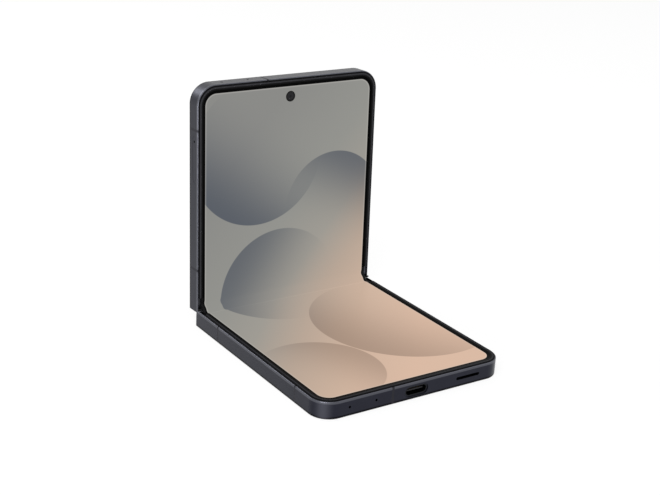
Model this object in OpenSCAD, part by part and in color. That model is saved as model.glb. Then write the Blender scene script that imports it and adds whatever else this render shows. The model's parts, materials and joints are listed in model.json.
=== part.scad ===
// Foldable clamshell phone with a geared two-axis hinge and one bending inner display.
// Millimetres. +Z is up, +X is to the right, and the phone opens towards -Y.
// The lower half lies on the table; the origin is at the middle of its underside.
//
// Each half is drawn flat in its own frame: X across the phone, Y away from the fold
// line towards the outer end, and Z up from the rear glass to the display.

/* [Body] */
// Width of the phone
body_w = 75.2; // [72:0.1:84]
// Length of one half from the fold line to its outer end
half_len = 83.35; // [78:0.05:96]
// Thickness of one half without the bezel
half_t = 6.5; // [6.4:0.05:7.4]
// Outer corner radius seen from the front
corner_r = 7.2; // [6:0.1:13]
// Angle that each half is folded up from flat, as stored
rest_fold = 44; // [0:1:90]
// Gap between the two frames when the phone is closed
closed_gap = 0.7; // [0.6:0.05:0.9]

/* [Frame] */
// Wall thickness of the side rail
rail_w = 1.6; // [1.4:0.05:1.9]
// Rounding of the rail's outer edges
rail_edge_r = 0.55; // [0.3:0.05:0.7]
// Width of the thin lip of the rail outside the bezel
lip_w = 0.32; // [0.25:0.01:0.4]
// Width of the polymer antenna breaks
break_w = 0.9; // [0.6:0.1:1.5]
// Thickness of the mid plate under the display
web_t = 0.5; // [0.4:0.05:0.55]

/* [Glass and display] */
// Thickness of the rear and cover glass
glass_t = 0.5; // [0.4:0.05:0.55]
// Distance of the glass outline from the outer edge
glass_inset = 0.85; // [0.8:0.05:1.1]
// Thickness of the folding display with its support layers
display_t = 1.0; // [0.7:0.05:1.05]
// Distance of the display surface below the top of the frame
display_drop = 0.1; // [0.05:0.01:0.15]
// Distance of the display panel's edge from the outer edge
display_inset = 2.6; // [2.5:0.05:3]
// Length of the bending stretch of the display on each side of the fold
bend_len = 4.6; // [4.4:0.1:5]
// Width of the raised bezel from its outer to its inner edge
bezel_w = 2.5; // [2.3:0.05:2.6]
// Height of the bezel above the top of the frame
bezel_rise = 0.22; // [0.1:0.01:0.25]
// Distance from the fold line at which the bezel starts
bezel_start = 5.6; // [5.6:0.1:7]

/* [Ports, keys and cameras] */
// Radius of the microphone holes
mic_r = 0.45; // [0.3:0.05:0.6]
// Width of the USB-C receptacle shell
usb_w = 8.9; // [8.9:0.02:9]
// Height of the USB-C receptacle shell
usb_h = 3.2; // [3.1:0.02:3.3]
// Length of the loudspeaker slot
speaker_len = 9.9; // [6:0.1:12]
// Length of the volume key
volume_len = 17; // [14:0.5:20]
// Length of the side key
side_len = 12.5; // [10:0.5:14]
// Height of the keys across the rail
key_h = 2.1; // [1.8:0.1:2.4]
// How far a key stands out of the rail
key_out = 0.35; // [0.2:0.05:0.5]
// Length of the SIM tray's door
sim_len = 16.6; // [16:0.2:18]
// Outer radius of the rear camera rings
ring_r = 6.3; // [5.5:0.1:6.8]
// How far the rear camera rings stand out of the cover glass
ring_out = 1.0; // [0.6:0.1:1.5]
// Radius of the front camera's window in the display
punch_r = 1.95; // [1.5:0.05:2.5]

/* [Hinge] */
// Depth of the two fold axes below the top of the frame
axis_drop = 1.75; // [1.65:0.05:1.8]
// Clearance between the spine and the halves
spine_clear = 0.1; // [0.08:0.01:0.15]
// Wall thickness of the spine housing
spine_wall = 0.6; // [0.5:0.05:0.65]
// Radius of the bracket cores that the crescents run on
core_r = 2.5; // [2.4:0.05:2.6]
// Radial running clearance of the crescents
crescent_clear = 0.06; // [0.04:0.01:0.1]
// Teeth on each synchronising gear
gear_teeth = 12; // [12:2:14]
// Radius of the gear shafts
shaft_r = 0.4; // [0.3:0.02:0.45]

/* [Hidden] */
$fn = 64;
eps = 0.01;

frame_grey = "#45454d";
band_grey = "#3c3c44";
bezel_grey = "#2b2b2e";
display_grey = "#9a9a94";
peach = "#d6b49c";
board_green = "#1f4d3a";
steel = "#a8abb0";
copper = "#b87333";

// Fold kinematics. With the phone flat the fold line is at y = 0.
half_w = body_w / 2;
fold_y = half_len / 2;                       // fold line's place over the lower half
axis_z = half_t - axis_drop;                 // height of both fold axes
axis_y = axis_drop + closed_gap / 2;         // distance of each axis from the fold line

// Heights in a half, from the rear face up
glass_top = glass_t + 0.02;
display_top = half_t - display_drop;
display_low = display_top - display_t;
web_top = display_low - 0.05;
web_low = web_top - web_t;
wing_low = web_top - 0.45;
lip_top = half_t - 0.08;
ledge_z = half_t - 0.8;
bezel_top = half_t + bezel_rise;
room_top = web_low - 0.05;                   // top of the space for the components
port_z = half_t / 2 - 0.05;                  // height of the USB-C port
hole_z = half_t / 2 + 0.15;                  // height of microphones, loudspeaker slot and keys

// Places seen in the photograph, from the fold line outwards (y) or across the phone (x)
break_ys = [16.2, half_len - 15.8];
end_break_x = -9.6;
mic_xs = [-26.6, -16.2];
speaker_x = half_w - 15.95;
punch_y = half_len - 6.85;
ear_half = 11.75;
sim_y = half_len - 26.35;
sim_z = half_t / 2 + 0.75;
sim_pin_y = sim_y + sim_len / 2 - 2;
volume_y = half_len - 26.35;
side_y = volume_y - 23;
camera_y = half_len - 12.6;
camera_xs = [half_w - 12.6, half_w - 12.6 - 16];
flash_x = -1.6;

// Spine section
spine_r = axis_z - glass_t - spine_clear;    // outer radius round each fold axis
bore_r = spine_r - spine_wall;               // inner radius of the housing
cavity_r = spine_r + spine_clear;            // what each half keeps clear
spine_x = half_w - rail_w - 0.1;             // half length of the spine
cap_t = 0.75;                                // thickness of the end caps
crescent_in = core_r + crescent_clear;
crescent_out = bore_r - 0.15;
wing_start = axis_y + crescent_in - 0.05;
wing_end = 12.5;
web_start = wing_end + 0.3;
shelf_start = axis_y + cavity_r + 2.15;      // frame shelf that carries the wing plate

// Gear train: arm gear, idler, idler, arm gear, on four shafts in a row
gear_y = axis_y + 1.2;
gear_z = axis_z - 1.35;
pitch_r = 2 * gear_y / 6;
idler_y = pitch_r;
tooth_out = 0.15;
tooth_in = 0.2;
tooth_pitch_w = 0.5 * PI * pitch_r / gear_teeth * 0.86;
shaft_clear = 0.03;

// Hinge module, from its inner to its outer end across the phone
wall_t = 0.8;
module_end = half_w - 2.8;
module_x = [for (d = [15.6, 14.8, 11.6, 10.8, 8.4, 7.6, 4.6, 3.8, 0.8, 0]) module_end - d];
arm_xs = [module_x[3] + 0.1, module_x[4] - 0.1];
lower_crescent_xs = [module_x[5] + 0.1, module_x[6] - 0.1];
upper_crescent_xs = [module_x[7] + 0.1, module_x[8] - 0.1];
bracket_top = axis_z - 0.05;
arm_low = axis_z - 0.45;
arm_top = arm_low + 0.35;
arm_tip = shelf_start - 0.3;

// ---------------------------------------------------------------- helpers

// Draws a section given in (y, z) and stretches it from x0 to x1
module along_x(x0, x1) {
    translate([x0, 0, 0]) rotate([90, 0, 90]) linear_extrude(x1 - x0) children();
}

// Both the right-hand copy and its mirror image across the phone
module both_sides() {
    children();
    mirror([1, 0, 0]) children();
}

module box(x, y, z) {
    translate([x[0], y[0], z[0]]) cube([x[1] - x[0], y[1] - y[0], z[1] - z[0]]);
}

module centred_box(x, y, z, w, d, h) {
    translate([x - w / 2, y - d / 2, z]) cube([w, d, h]);
}

module post(x, y, z, r) {
    translate([x, y, z[0]]) cylinder(r = r, h = z[1] - z[0]);
}

// Rectangle with round corners, centred on x and starting at y0
module rounded_box(x, y, z, r) {
    translate([0, 0, z[0]]) linear_extrude(z[1] - z[0]) union() {
        translate([x[0] + r, y[0]]) square([x[1] - x[0] - 2 * r, y[1] - y[0]]);
        translate([x[0], y[0] + r]) square([x[1] - x[0], y[1] - y[0] - 2 * r]);
        for (cx = [x[0] + r, x[1] - r], cy = [y[0] + r, y[1] - r]) translate([cx, cy]) circle(r);
    }
}

// Outline of a half, drawn in from its edge, from y0 to its rounded outer end
module half_plate(inset, y0, z) {
    r = corner_r - inset;
    w = half_w - inset;
    end = half_len - inset;
    translate([0, 0, z[0]]) linear_extrude(z[1] - z[0]) union() {
        translate([-w, y0]) square([2 * w, end - r - y0]);
        translate([-w + r, y0]) square([2 * (w - r), end - y0]);
        for (side = [-1, 1]) translate([side * (w - r), end - r]) circle(r);
    }
}

// Sweeps a section, given as [distance in from the edge, z], up one side of a half, round its
// outer corner, across its end and back down the other side
module edge_sweep(points, y0) {
    run = half_w - corner_r;
    end = half_len - corner_r;
    both_sides() {
        translate([0, end, 0]) rotate([90, 0, 0]) linear_extrude(end - y0)
            polygon([for (p = points) [half_w - p[0], p[1]]]);
        translate([run, end, 0]) rotate_extrude(angle = 90)
            polygon([for (p = points) [corner_r - p[0], p[1]]]);
    }
    along_x(-run, run) polygon([for (p = points) [half_len - p[0], p[1]]]);
}

// Points on a quarter turn, for a rounded edge of a section
function arc(cx, cz, r, from, to, steps = 4) =
    [for (i = [0:steps]) let (a = from + (to - from) * i / steps) [cx + r * cos(a), cz + r * sin(a)]];

// Slot with round ends in the end rail (long way across the phone), cut along y
module end_slot(x, z, w, h, y) {
    r = h / 2;
    for (side = [-1, 1])
        translate([x + side * (w / 2 - r), y[0], z]) rotate([-90, 0, 0]) cylinder(r = r, h = y[1] - y[0]);
    box([x - w / 2 + r, x + w / 2 - r], y, [z - r, z + r]);
}

// Slot with round ends in a side rail (long way along the half), cut along x
module side_slot(y, z, len, h, x) {
    r = h / 2;
    for (side = [-1, 1])
        translate([x[0], y + side * (len / 2 - r), z]) rotate([0, 90, 0]) cylinder(r = r, h = x[1] - x[0]);
    box(x, [y - len / 2 + r, y + len / 2 - r], [z - r, z + r]);
}

// Turns its children about an axis along X
module turn(y, z, angle) {
    translate([0, y, z]) rotate([angle, 0, 0]) translate([0, -y, -z]) children();
}

// The three bodies as stored
module lower_place() {
    translate([0, fold_y, 0]) mirror([0, 1, 0]) children();
}

module spine_place() {
    translate([0, fold_y, 0]) turn(-axis_y, axis_z, rest_fold) children();
}

module upper_place() {
    spine_place() turn(axis_y, axis_z, rest_fold) children();
}

// ---------------------------------------------------------------- shared parts of a half

rail_points = concat(
    arc(rail_edge_r, rail_edge_r + 0.12, rail_edge_r, 180, 270),
    [[glass_inset - 0.02, 0.12], [glass_inset - 0.02, glass_top], [rail_w, glass_top],
     [rail_w, ledge_z], [lip_w, ledge_z], [lip_w, lip_top - 0.02]],
    arc(lip_w, lip_top - lip_w, lip_w, 90, 180));

// Side rail, squared off at the fold and rounded there where the display folds
module rail() {
    difference() {
        edge_sweep(rail_points, closed_gap / 14);
        both_sides() along_x(half_w - rail_w - 1, half_w + 1) difference() {
            translate([-1, axis_z]) square([axis_y + 1, half_t]);
            translate([axis_y, axis_z]) circle(axis_y - closed_gap / 14);
        }
    }
}

// Slabs through the rail where the antenna breaks are
module break_slabs() {
    for (y = break_ys) both_sides() box([half_w - rail_w, half_w + 1], [y - break_w / 2, y + break_w / 2], [-1, half_t + 1]);
    box([end_break_x - break_w / 2, end_break_x + break_w / 2], [half_len - rail_w, half_len + 1], [-1, half_t + 1]);
}

// Frame of a half: rail, lip at the fold, mid plate and the shelf under the wing plate
module half_frame() {
    difference() {
        rail();
        break_slabs();
    }
    rounded_lip();
    half_plate(rail_w - 0.05, web_start, [web_low, web_top]);
    box([-half_w + rail_w - 0.05, half_w - rail_w + 0.05], [shelf_start, web_start + 1], [wing_low - web_t, wing_low - 0.02]);
    box([-half_w + rail_w - 0.05, half_w - rail_w + 0.05], [web_start, web_start + 1], [wing_low - 0.05, web_low + 0.1]);
}

// Screw bosses under the mid plate, where the inner cover of a half is fastened
module bosses(places) {
    for (p = places) post(p[0], p[1], [cover_z[1], web_low + 0.1], boss_r);
}

// Lip of the frame along the fold, between the two rails
module rounded_lip() {
    lip_points = concat([[1.3, glass_t], [closed_gap / 14, glass_t]], arc(closed_gap / 14 + 0.3, 0.3, 0.3, 180, 270), [[1.3, 0]]);
    along_x(-half_w + rail_w - 0.05, half_w - rail_w + 0.05) polygon(lip_points);
    both_sides() box([half_w - rail_w - 0.05, half_w - rail_w + 0.8], [closed_gap / 14, 1.3], [0.2, glass_t]);
}

boss_r = 1.3;
screw_r = 0.5;
boss_x = half_w - rail_w - 2;
boss_y = half_len - 15.85;
lower_bosses = [[-boss_x, boss_y], [boss_x, boss_y], [11.6, boss_y], [-20, boss_y - 3]];
upper_bosses = [[-boss_x, boss_y], [boss_x, boss_y], [7, boss_y - 3.8], [-12, boss_y - 1.5]];
cover_z = [glass_top + 0.55, glass_top + 0.9];

module boss_holes(places) {
    for (p = places) post(p[0], p[1], [0, web_low - 0.3], screw_r + 0.02);
}

// The heads sit on the inner cover and the shanks pass into the bosses
module cover_screws(places) {
    for (p = places) {
        post(p[0], p[1], [cover_z[0] - 0.36, cover_z[0]], 1.1);
        post(p[0], p[1], [cover_z[0] - eps, web_low - 0.4], screw_r);
    }
}

// Inner cover under the rear face, over the boards
module inner_cover(x, y0) {
    rounded_box([-x, x], [y0, half_len - 3.6], cover_z, corner_r - 3.3);
}

// Rear or cover glass of a half
module half_glass() {
    half_plate(glass_inset, 1.4, [0, glass_t]);
}

// Raised bezel, swept like the rail; its inner slope runs down to the display
module half_bezel() {
    outer = lip_w + 0.03;
    inner = outer + bezel_w;
    edge_sweep([[outer, ledge_z + 0.02], [outer, bezel_top - 0.15], [outer + 0.15, bezel_top],
                [outer + 1.3, bezel_top], [outer + 1.55, bezel_top - 0.08], [inner, display_top + 0.06],
                [inner, display_top + 0.02], [rail_w, display_top + 0.02], [rail_w, ledge_z + 0.02]], bezel_start);
}

// Flat stretch of the display panel
module half_display() {
    half_plate(display_inset, bend_len, [display_low, display_top]);
}

// Wing plate of the hinge with its two crescents, which run round the bracket cores
module wing_plate(xs) {
    reach = spine_x - cap_t - 0.3;
    box([-reach, reach], [wing_start, wing_end], [wing_low, web_top]);
    both_sides() {
        along_x(xs[0], xs[1]) crescent();
        for (x = [arm_xs[0] - 0.7, arm_xs[1] + 0.2]) box([x, x + 0.5], [axis_y + cavity_r + 0.2, arm_tip], [wing_low - 0.9, wing_low + eps]);
    }
}

module crescent() {
    translate([axis_y, axis_z]) intersection() {
        difference() {
            circle(crescent_out);
            circle(crescent_in);
        }
        polygon([[0, 0], [8, 0], [8, -8], [0, -8], [-8, -8], [-8, -8 * tan(40)]]);
    }
    translate([axis_y + crescent_in, axis_z - 0.3]) square([0.6, wing_low - axis_z + 0.31]);
}

// Screws that hold a wing plate to the shelf
module wing_screws() {
    for (x = [-30, -14, 0, 14, 30]) post(x, wing_end - 1, [wing_low - web_t - 0.1, wing_low + 0.3], screw_r);
}

// ---------------------------------------------------------------- lower half

module lower_frame() {
    color(frame_grey) lower_place() difference() {
        union() {
            half_frame();
            bosses(lower_bosses);
        }
        boss_holes(lower_bosses);
        wing_screw_holes();
        end_slot(0, port_z, usb_w + 0.1, usb_h + 0.1, [half_len - rail_w - 1, half_len + 1]);
        end_slot(0, port_z, usb_w + 0.7, usb_h + 0.7, [half_len - 0.25, half_len + 1]);
        end_slot(speaker_x, hole_z, speaker_len, 1.1, [half_len - rail_w - 1, half_len + 1]);
        mic_holes();
        magnet_pockets();
    }
}

module mic_holes() {
    for (x = mic_xs) translate([x, half_len - rail_w - 1, hole_z]) rotate([-90, 0, 0]) cylinder(r = mic_r, h = rail_w + 2);
}

module wing_screw_holes() {
    for (x = [-30, -14, 0, 14, 30]) post(x, wing_end - 1, [0, half_t], screw_r + 0.02);
}

module antenna_breaks() {
    difference() {
        intersection() {
            rail();
            break_slabs();
        }
        half_plate(rail_w - 0.06, web_start - 1, [web_low - eps, web_top + eps]);
    }
}

module lower_antenna_breaks() {
    color(band_grey) lower_place() antenna_breaks();
}

module lower_rear_glass() {
    color("#1d2026") lower_place() half_glass();
}

module lower_bezel() {
    color(bezel_grey) lower_place() half_bezel();
}

module display_lower() {
    color(peach) lower_place() half_display();
}

module lower_battery() {
    color("#2a2c30") lower_place() rounded_box([-half_w + 5.6, half_w - 5.6], [cell_start, lower_board_y - 2], [glass_top + 0.75, room_top], 2);
}

board_z = [glass_top + 1.9, glass_top + 2.5];
cell_start = 17.5;                           // batteries start here, past the hinge
lower_board_y = half_len - 25.35;
upper_board_y = half_len - 39.35;
coil_y = (cell_start + lower_board_y) / 2 - 0.75;

module sub_board() {
    color(board_green) lower_place() difference() {
        rounded_box([-half_w + 5.6, 9.5], [lower_board_y, half_len - 8.2], board_z, 1);
        for (p = lower_bosses) post(p[0], p[1], [0, half_t], boss_r + 0.1);
    }
}

module usb_c_shell() {
    y = [half_len - 8, half_len - 0.3];
    color(steel) lower_place() difference() {
        end_slot(0, port_z, usb_w, usb_h, y);
        end_slot(0, port_z, usb_w - 0.6, usb_h - 0.6, [y[0] + 0.8, y[1] + 1]);
    }
}

module usb_c_tongue() {
    color("#15161a") lower_place() box([-3.35, 3.35], [half_len - 7.2, half_len - 1.1], [port_z - 0.35, port_z + 0.35]);
}

module loudspeaker() {
    color("#26282c") lower_place() rounded_box([speaker_x - 7.65, half_w - 5.3], [lower_board_y + 7, half_len - 2.6], [cover_z[1] + 0.05, room_top], 1.5);
}

module loudspeaker_mesh() {
    color("#0d0d10") lower_place() box([speaker_x - 5.6, speaker_x + 5.6], [half_len - 1.9, half_len - rail_w - 0.02], [hole_z - 0.9, hole_z + 0.9]);
}

module microphone_cans(z) {
    for (x = mic_xs) centred_box(x, half_len - 3.4, z, 3.5, 2.6, 1.2);
}

module lower_microphones() {
    color(steel) lower_place() microphone_cans(hole_z - 0.6);
}

module vibration_motor() {
    color(steel) lower_place() rounded_box([12, 29], [lower_board_y, lower_board_y + 5.8], [cover_z[1] + 0.05, room_top], 0.8);
}

// Flat winding of the wireless charging coil under the rear glass
module charging_coil() {
    color(copper) lower_place() difference() {
        post(0, coil_y, [glass_top + 0.05, glass_top + 0.4], 23);
        post(0, coil_y, [0, glass_top + 1], 11);
    }
}

module sub_board_cover() {
    color("#222428") lower_place() difference() {
        inner_cover(half_w - 2.6, lower_board_y + 3);
        boss_holes(lower_bosses);
    }
}

module lower_screws() {
    color(steel) lower_place() {
        cover_screws(lower_bosses);
        wing_screws();
    }
}

magnet_xs = [-24, 24];

// Pockets in the mid plate for the magnets that hold the phone closed
module magnet_pockets() {
    for (x = magnet_xs) centred_box(x, half_len - 6, web_low - 1, 10.1, 3.1, 3);
}

module closing_magnets() {
    for (x = magnet_xs) centred_box(x, half_len - 6, web_low, 10, 3, web_t);
}

module lower_magnets() {
    color(steel) lower_place() closing_magnets();
}

module lower_wing_plate() {
    color(steel) lower_place() difference() {
        wing_plate(lower_crescent_xs);
        wing_screw_holes();
    }
}

// ---------------------------------------------------------------- upper half

module upper_frame() {
    color(frame_grey) upper_place() difference() {
        union() {
            half_frame();
            bosses(upper_bosses);
        }
        boss_holes(upper_bosses);
        wing_screw_holes();
        mic_holes();
        magnet_pockets();
        side_slot(volume_y, hole_z, volume_len + 0.2, key_h + 0.2, [half_w - rail_w - 0.5, half_w + 1]);
        side_slot(side_y, hole_z, side_len + 0.2, key_h + 0.2, [half_w - rail_w - 0.5, half_w + 1]);
        side_slot(sim_y, sim_z, sim_len + 0.16, 2.36, [-half_w - 1, -half_w + rail_w + 0.5]);
        post(0, punch_y, [web_low - 1, web_top + 1], 3.4);
        centred_box(0, half_len - 2.6, web_low - 1, 2 * ear_half - 6, 2.2, 3);
    }
}

module upper_antenna_breaks() {
    color(band_grey) upper_place() antenna_breaks();
}

module cover_glass() {
    color("#0c0d10") upper_place() difference() {
        half_glass();
        for (x = camera_xs) post(x, camera_y, [-1, 2], ring_r + 0.04);
    }
}

module cover_display() {
    color("#08090b") upper_place() difference() {
        rounded_box([-half_w + 3, half_w - 3], [4.5 + cavity_r, half_len - 3], [glass_top, glass_top + 0.16], 5);
        for (x = camera_xs) post(x, camera_y, [0, 2], ring_r + 0.3);
        post(flash_x, camera_y, [0, 2], 2);
    }
}

module camera_rings() {
    color("#3a3a40") upper_place() for (x = camera_xs) translate([x, camera_y, 0]) rotate_extrude()
        polygon([[ring_r - 1.5, glass_t], [ring_r - 1.5, 0.1 - ring_out], [ring_r - 1.2, -ring_out],
                 [ring_r - 0.35, -ring_out], [ring_r, 0.35 - ring_out], [ring_r, glass_t]]);
}

module camera_lens_glass() {
    color("#050608") upper_place() for (x = camera_xs) post(x, camera_y, [0.22 - ring_out, 0.6 - ring_out], ring_r - 1.52);
}

module rear_camera_modules() {
    color("#1a1b20") upper_place() for (x = camera_xs) {
        post(x, camera_y, [0.62 - ring_out, glass_top + 0.4], ring_r - 2.4);
        centred_box(x, camera_y, glass_top + 0.38, 11, 11, room_top - glass_top - 0.4);
    }
}

module flash_led() {
    color("#e8e2c8") upper_place() post(flash_x, camera_y, [glass_top, glass_top + 0.7], 1.7);
}

// The upper bezel has the earpiece's slot along its outer edge
module upper_bezel() {
    color(bezel_grey) upper_place() difference() {
        half_bezel();
        box([-ear_half, ear_half], [half_len - lip_w - 0.6, half_len], [ledge_z - 1, bezel_top + 1]);
    }
}

module display_upper() {
    color(display_grey) upper_place() difference() {
        half_display();
        post(0, punch_y, [0, 9], punch_r + 0.04);
    }
}

module front_camera() {
    color("#0b0b0d") upper_place() {
        post(0, punch_y, [web_low - 0.5, display_top - 0.03], punch_r);
        post(0, punch_y, [web_low - 1.4, display_low - 0.1], 3);
        centred_box(0, punch_y, web_low - 2.6, 7, 6.4, 1.3);
    }
}

module earpiece() {
    color("#26282c") upper_place() rounded_box([-7.5, 7.5], [half_len - 2.5 - 1.1, half_len - 1.7], [room_top - 1.6, web_top - 0.05], 0.3);
}

module earpiece_mesh() {
    color("#0d0d10") upper_place() box([-ear_half + 0.2, ear_half - 0.2], [half_len - lip_w - 0.55, half_len - lip_w - 0.05], [ledge_z, display_top - 0.22]);
}

module main_board() {
    color(board_green) upper_place() difference() {
        rounded_box([-17, half_w - 4.6], [upper_board_y, half_len - 4.9], board_z, 1);
        for (x = camera_xs) centred_box(x, camera_y, 0, 11.4, 11.4, 9);
        centred_box(0, punch_y, 0, 7.4, 6.8, 9);
        for (p = upper_bosses) post(p[0], p[1], [0, half_t], boss_r + 0.1);
    }
}

module main_board_cover() {
    color("#222428") upper_place() difference() {
        inner_cover(half_w - 2.6, upper_board_y + 18.2);
        boss_holes(upper_bosses);
        for (x = camera_xs) post(x, camera_y, [0, half_t], ring_r - 2.3);
        for (x = camera_xs) centred_box(x, camera_y, 0, 11.1, 11.1, half_t);
        post(flash_x, camera_y, [0, half_t], 1.75);
    }
}

module shield_cans() {
    color(steel) upper_place() {
        y = [upper_board_y + 1, upper_board_y + 18];
        rounded_box([-16, 6], y, [board_z[1], room_top], 0.6);
        rounded_box([8, 31], y, [board_z[1], room_top], 0.6);
        rounded_box([-16, 31], y, [glass_top + 0.6, board_z[0]], 0.6);
    }
}

module upper_battery() {
    color("#2a2c30") upper_place() rounded_box([-half_w + 7.6, half_w - 7.6], [cell_start, upper_board_y - 1.5], [glass_top + 0.3, room_top], 2);
}

module upper_microphones() {
    color(steel) upper_place() microphone_cans(hole_z - 0.6);
}

module upper_screws() {
    color(steel) upper_place() {
        cover_screws(upper_bosses);
        wing_screws();
    }
}

module upper_magnets() {
    color(steel) upper_place() closing_magnets();
}

module upper_wing_plate() {
    color(steel) upper_place() difference() {
        wing_plate(upper_crescent_xs);
        wing_screw_holes();
    }
}

key_inner = half_w - rail_w;

// Dome switches on their strip, behind the keys
module key_switches() {
    x = key_inner - 1.9;
    color("#3b3323") upper_place() {
        box([x, x + 0.5], [side_y - 6, volume_y + 8], [hole_z - 1, hole_z + 0.6]);
        for (y = [side_y, volume_y - 5, volume_y + 5]) translate([x + 0.45, y, hole_z]) rotate([0, 90, 0]) cylinder(r = 1, h = 0.45);
    }
}

// A key with the flange that keeps it behind the rail
module rail_key(y, len) {
    side_slot(y, hole_z, len, key_h, [key_inner - 0.45, half_w + key_out]);
    box([key_inner - 0.65, key_inner - 0.28], [y - len / 2 - 0.5, y + len / 2 + 0.5], [hole_z - key_h / 2 - 0.3, hole_z + key_h / 2 + 0.1]);
}

module volume_key() {
    color(frame_grey) upper_place() rail_key(volume_y, volume_len);
}

module side_key() {
    color(frame_grey) upper_place() rail_key(side_y, side_len);
}

sim_blade = [sim_z - 0.4, sim_z + 0.5];
sim_in = 15;                                 // how far the tray reaches into the phone

module sim_tray() {
    color(frame_grey) upper_place() difference() {
        union() {
            side_slot(sim_y, sim_z, sim_len, 2.2, [-half_w + 0.03, -half_w + rail_w - 0.05]);
            box([-half_w + rail_w - 0.1, -half_w + sim_in], [sim_y - 7.5, sim_y + 5.2], sim_blade);
        }
        translate([-half_w - 1, sim_pin_y, sim_z]) rotate([0, 90, 0]) cylinder(r = 0.42, h = rail_w + 2);
        centred_box(-half_w + 8.6, sim_y - 1.15, sim_blade[0] + 0.2, 9, 11.6, 3);
    }
}

// Card reader that the tray slides into
module sim_reader() {
    x = [-half_w + rail_w + 0.4, -half_w + sim_in + 1.5];
    y = [sim_y - 8.6, sim_y + 6.3];
    color(steel) upper_place() difference() {
        box(x, y, [sim_blade[0] - 0.5, sim_blade[1] + 0.3]);
        box([x[0] - 1, x[1] - 0.6], [y[0] + 0.8, y[1] - 0.8], [sim_blade[0] - 0.08, sim_blade[1] + 0.08]);
    }
}

// ---------------------------------------------------------------- hinge spine

// Section through the spine: a disc of this radius round each fold axis and what is between
module spine_area(r, top) {
    intersection() {
        union() {
            for (side = [-1, 1]) translate([side * axis_y, axis_z]) circle(r);
            translate([-axis_y, axis_z - r]) square([2 * axis_y, r]);
        }
        translate([-20, axis_z - 20]) square([40, 20 - (axis_z - top)]);
    }
}

module hinge_housing() {
    color(frame_grey) spine_place() difference() {
        along_x(-spine_x, spine_x) spine_area(spine_r, axis_z);
        along_x(-spine_x + cap_t, spine_x - cap_t) spine_area(bore_r, axis_z + 1);
        both_sides() box([arm_xs[0] - 0.2, arm_xs[1] + 0.2], [-9, 9], [arm_low - 0.2, half_t]);
    }
}

// One bracket: walls that hold the shafts, and cores that the crescents run on
module bracket() {
    inner = bore_r - 0.03;
    for (i = [0, 2, 4, 6, 8]) along_x(module_x[i], module_x[i + 1]) spine_area(inner, bracket_top);
    along_x(module_x[5] - eps, module_x[6] + eps) crescent_core(-1, inner);
    along_x(module_x[7] - eps, module_x[8] + eps) crescent_core(1, inner);
    along_x(module_x[1] - eps, module_x[4] + eps) intersection() {
        spine_area(inner, bracket_top);
        translate([-9, 0]) square([18, gear_z - pitch_r - 0.3]);
    }
}

// Section of the bracket beside a crescent, which runs round the axis on the given side
module crescent_core(side, inner) {
    intersection() {
        spine_area(inner, bracket_top);
        union() {
            translate([side * axis_y, axis_z]) circle(core_r);
            difference() {
                translate([side > 0 ? -9 : axis_y, 0]) square([9 - axis_y, 9]);
                translate([side * axis_y, axis_z]) circle(bore_r);
            }
        }
    }
}

shaft_ys = [-gear_y, -idler_y, idler_y, gear_y];

module shaft_row(r, x) {
    for (y = shaft_ys) translate([x[0], y, gear_z]) rotate([0, 90, 0]) cylinder(r = r, h = x[1] - x[0]);
}

module hinge_brackets() {
    color(steel) spine_place() both_sides() difference() {
        bracket();
        shaft_row(shaft_r + 0.01, [module_x[0] + 0.3, module_x[5] - 0.3]);
    }
}

module gear_shafts() {
    color("#8c8f94") spine_place() both_sides() shaft_row(shaft_r, [module_x[0] + 0.32, module_x[5] - 0.32]);
}

// Thin plate under the middle of the display
module centre_plate() {
    color(steel) spine_place() along_x(-spine_x + cap_t + 0.1, spine_x - cap_t - 0.1) translate([-1.5, bracket_top]) square([3, 0.18]);
}

// Caps on the ends of the spine, shaped to clear both halves as they fold
module spine_end_caps() {
    relief = 3.3;
    color("#0a0a0c") spine_place() both_sides() along_x(spine_x - cap_t, spine_x - 0.05) intersection() {
        translate([-axis_y, axis_z]) circle(relief);
        translate([axis_y, axis_z]) circle(relief);
        translate([-2, axis_z]) square([4, 0.5]);
    }
}

// Disc springs that press on the arm shafts and give the hinge its friction
module disc_springs() {
    pitch = 0.45;
    color(steel) spine_place() both_sides() for (side = [-1, 1], i = [0:5])
        translate([module_x[1] + 0.15 + i * pitch, side * gear_y, gear_z]) rotate([0, 90, 0]) difference() {
            cylinder(r = 0.95, h = 0.3);
            translate([0, 0, -1]) cylinder(r = shaft_r + shaft_clear, h = 3);
        }
}

// Screws that hold the brackets in the housing
module hinge_screws() {
    color(steel) spine_place() both_sides() for (x = [module_x[0] - 2, module_x[0] - 6])
        post(x, 0, [axis_z - bore_r, axis_z - bore_r + 0.6], 0.9);
}

// Gear section: a disc at the tooth roots and tapered teeth
module gear(phase) {
    step = 360 / gear_teeth;
    difference() {
        union() {
            circle(pitch_r - tooth_in);
            for (i = [0:gear_teeth - 1]) rotate(i * step + phase) polygon([
                [pitch_r - tooth_in - 0.1, -0.62 * tooth_pitch_w], [pitch_r - tooth_in - 0.1, 0.62 * tooth_pitch_w],
                [pitch_r, tooth_pitch_w / 2], [pitch_r + tooth_out, 0.22 * tooth_pitch_w],
                [pitch_r + tooth_out, -0.22 * tooth_pitch_w], [pitch_r, -tooth_pitch_w / 2]]);
        }
        circle(shaft_r + shaft_clear);
    }
}

// A gear with the arm that slides under a wing plate
module sync_arm(phase) {
    both_sides() along_x(arm_xs[0], arm_xs[1]) {
        translate([gear_y, gear_z]) gear(phase);
        difference() {
            polygon([[gear_y + 0.1, gear_z + 0.5], [gear_y + 0.6, gear_z + 0.1], [gear_y + 1.05, gear_z + 0.15], [gear_y + 2, arm_low],
                     [arm_tip, arm_low], [arm_tip, arm_top], [gear_y + 1, arm_top], [gear_y + 0.2, gear_z + 0.85]]);
            translate([gear_y, gear_z]) circle(shaft_r + shaft_clear);
        }
    }
}

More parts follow.
